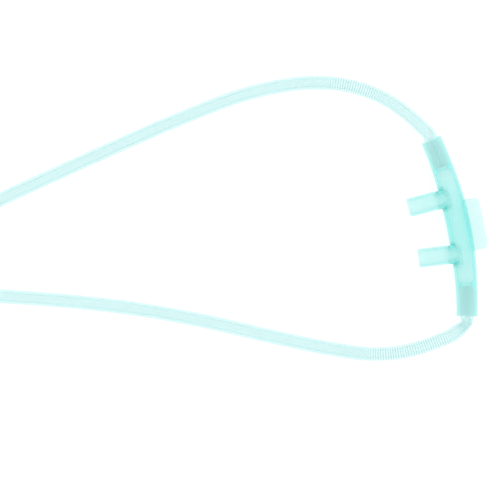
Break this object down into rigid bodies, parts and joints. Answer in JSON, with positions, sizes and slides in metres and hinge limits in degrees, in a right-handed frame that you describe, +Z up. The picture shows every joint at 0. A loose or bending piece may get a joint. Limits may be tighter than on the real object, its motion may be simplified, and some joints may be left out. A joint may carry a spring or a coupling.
{
  "type": "nasal oxygen cannula",
  "caption": "Soft nasal oxygen cannula: curved facepiece with nasal prongs and lip tab, lead tubes with slider, Y connector and coiled supply tube with end connector.",
  "frame": {"origin": "on the plane that the cannula lies on, under the middle of the facepiece's bounding box", "axes": "+Z up; the curved crossbar of the facepiece runs along Y; the nasal prongs point to -X and the lip tab to +X; the coil lies at -X"},
  "size_m": [0.3114, 0.0917, 0.0334],
  "materials": {
    "facepiece_pvc": "soft moulded PVC, translucent teal tint, smooth",
    "tubing_pvc": "extruded soft PVC, translucent pale aqua, smooth",
    "fitting_pvc": "moulded soft PVC, translucent pale aqua",
    "tie_paper": "uncoated white paper band"
  },
  "bodies": {
    "cannula": {"facepiece": "facepiece_pvc", "lead_tube_right": "tubing_pvc", "lead_tube_left": "tubing_pvc", "y_connector": "fitting_pvc", "supply_tube": "tubing_pvc", "supply_coil": "tubing_pvc", "supply_tube_tail": "tubing_pvc", "coil_tie_1": "tie_paper", "coil_tie_2": "tie_paper", "end_connector": "fitting_pvc"},
    "slider": {"slider": "fitting_pvc"}
  },
  "joints": [
    {"name": "slider_travel", "type": "slide", "parent": "cannula", "child": "slider", "axis": [1, 0, 0], "range_m": [-0.01, 0.01]}
  ]
}
